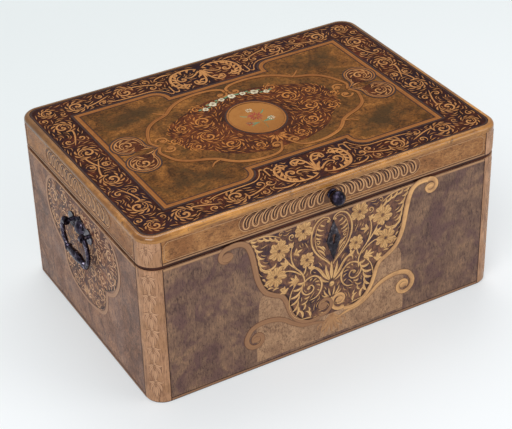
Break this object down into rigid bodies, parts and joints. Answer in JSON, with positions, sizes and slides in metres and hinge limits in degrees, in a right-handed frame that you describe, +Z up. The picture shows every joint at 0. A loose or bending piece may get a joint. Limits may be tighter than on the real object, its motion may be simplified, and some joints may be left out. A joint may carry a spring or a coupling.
{
  "type": "marquetry casket",
  "caption": "Lidded wooden casket with rounded corners, inlaid veneers, a back-hinged lid, drop handles at the ends, a turned knob and a sliding-bolt box lock.",
  "frame": {"origin": "middle of the surface that the case stands on", "axes": "+X along the front to the right, -Y towards the front with the lock, +Z up through the lid"},
  "size_m": [0.4448, 0.3237, 0.2],
  "materials": {
    "burr_veneer": "polished burr veneer",
    "panel_veneer": "polished olive-brown veneer",
    "dark_ground": "polished dark veneer",
    "corner_veneer": "engraved light veneer",
    "pale_moulding": "polished light moulding",
    "ebonised_wood": "ebonised and waxed",
    "case_timber": "planed softwood",
    "lining_paper": "glued lining paper",
    "blackened_iron": "blackened, worn bright on edges",
    "lock_steel": "aged bright steel"
  },
  "bodies": {
    "case": {"back_board": "case_timber", "back_veneer": "burr_veneer", "base_strip": "ebonised_wood", "bottom_board": "case_timber", "corner_post_back_left": "corner_veneer", "corner_post_back_right": "corner_veneer", "corner_post_front_left": "corner_veneer", "corner_post_front_right": "corner_veneer", "escutcheon": "lock_steel", "escutcheon_pins": "lock_steel", "front_board": "case_timber", "front_veneer": "burr_veneer", "handle_nuts_left": "blackened_iron", "handle_nuts_right": "blackened_iron", "handle_plate_left": "blackened_iron", "handle_plate_right": "blackened_iron", "handle_posts_left": "blackened_iron", "handle_posts_right": "blackened_iron", "hinge_leaf_case_left": "blackened_iron", "hinge_leaf_case_right": "blackened_iron", "hinge_pins": "lock_steel", "hinge_screws_case": "lock_steel", "left_board": "case_timber", "left_veneer": "burr_veneer", "lining_floor": "lining_paper", "lining_walls": "lining_paper", "lock_case": "lock_steel", "lock_plate": "lock_steel", "lock_screws": "lock_steel", "lock_spring": "lock_steel", "right_board": "case_timber", "right_veneer": "burr_veneer", "rim_band": "ebonised_wood"},
    "lid": {"hinge_leaf_lid_left": "blackened_iron", "hinge_leaf_lid_right": "blackened_iron", "hinge_screws_lid": "lock_steel", "knob": "blackened_iron", "knob_nut": "blackened_iron", "lid_back_rail": "case_timber", "lid_back_veneer": "burr_veneer", "lid_border_veneer": "dark_ground", "lid_corner_back_left": "corner_veneer", "lid_corner_back_right": "corner_veneer", "lid_corner_front_left": "corner_veneer", "lid_corner_front_right": "corner_veneer", "lid_front_rail": "case_timber", "lid_front_veneer": "burr_veneer", "lid_left_rail": "case_timber", "lid_left_veneer": "burr_veneer", "lid_lining": "lining_paper", "lid_moulding": "pale_moulding", "lid_panel_veneer": "panel_veneer", "lid_right_rail": "case_timber", "lid_right_veneer": "burr_veneer", "lid_top_board": "case_timber", "link_plate": "lock_steel", "link_screws": "lock_steel"},
    "left_bail": {"bail_left": "blackened_iron"},
    "right_bail": {"bail_right": "blackened_iron"},
    "bolt": {"lock_bolt": "lock_steel"}
  },
  "joints": [
    {"name": "lid_hinge", "type": "hinge", "parent": "case", "child": "lid", "pos_m": [0, 0.1525, 0.16475], "axis": [-1, 0, 0], "range_deg": [0, 100]},
    {"name": "left_handle_swing", "type": "hinge", "parent": "case", "child": "left_bail", "pos_m": [-0.218, 0, 0.134], "axis": [0, 1, 0], "range_deg": [-5, 90]},
    {"name": "right_handle_swing", "type": "hinge", "parent": "case", "child": "right_bail", "pos_m": [0.218, 0, 0.134], "axis": [0, -1, 0], "range_deg": [-5, 90]},
    {"name": "bolt_slide", "type": "slide", "parent": "case", "child": "bolt", "axis": [1, 0, 0], "range_m": [0, 0.006]}
  ]
}
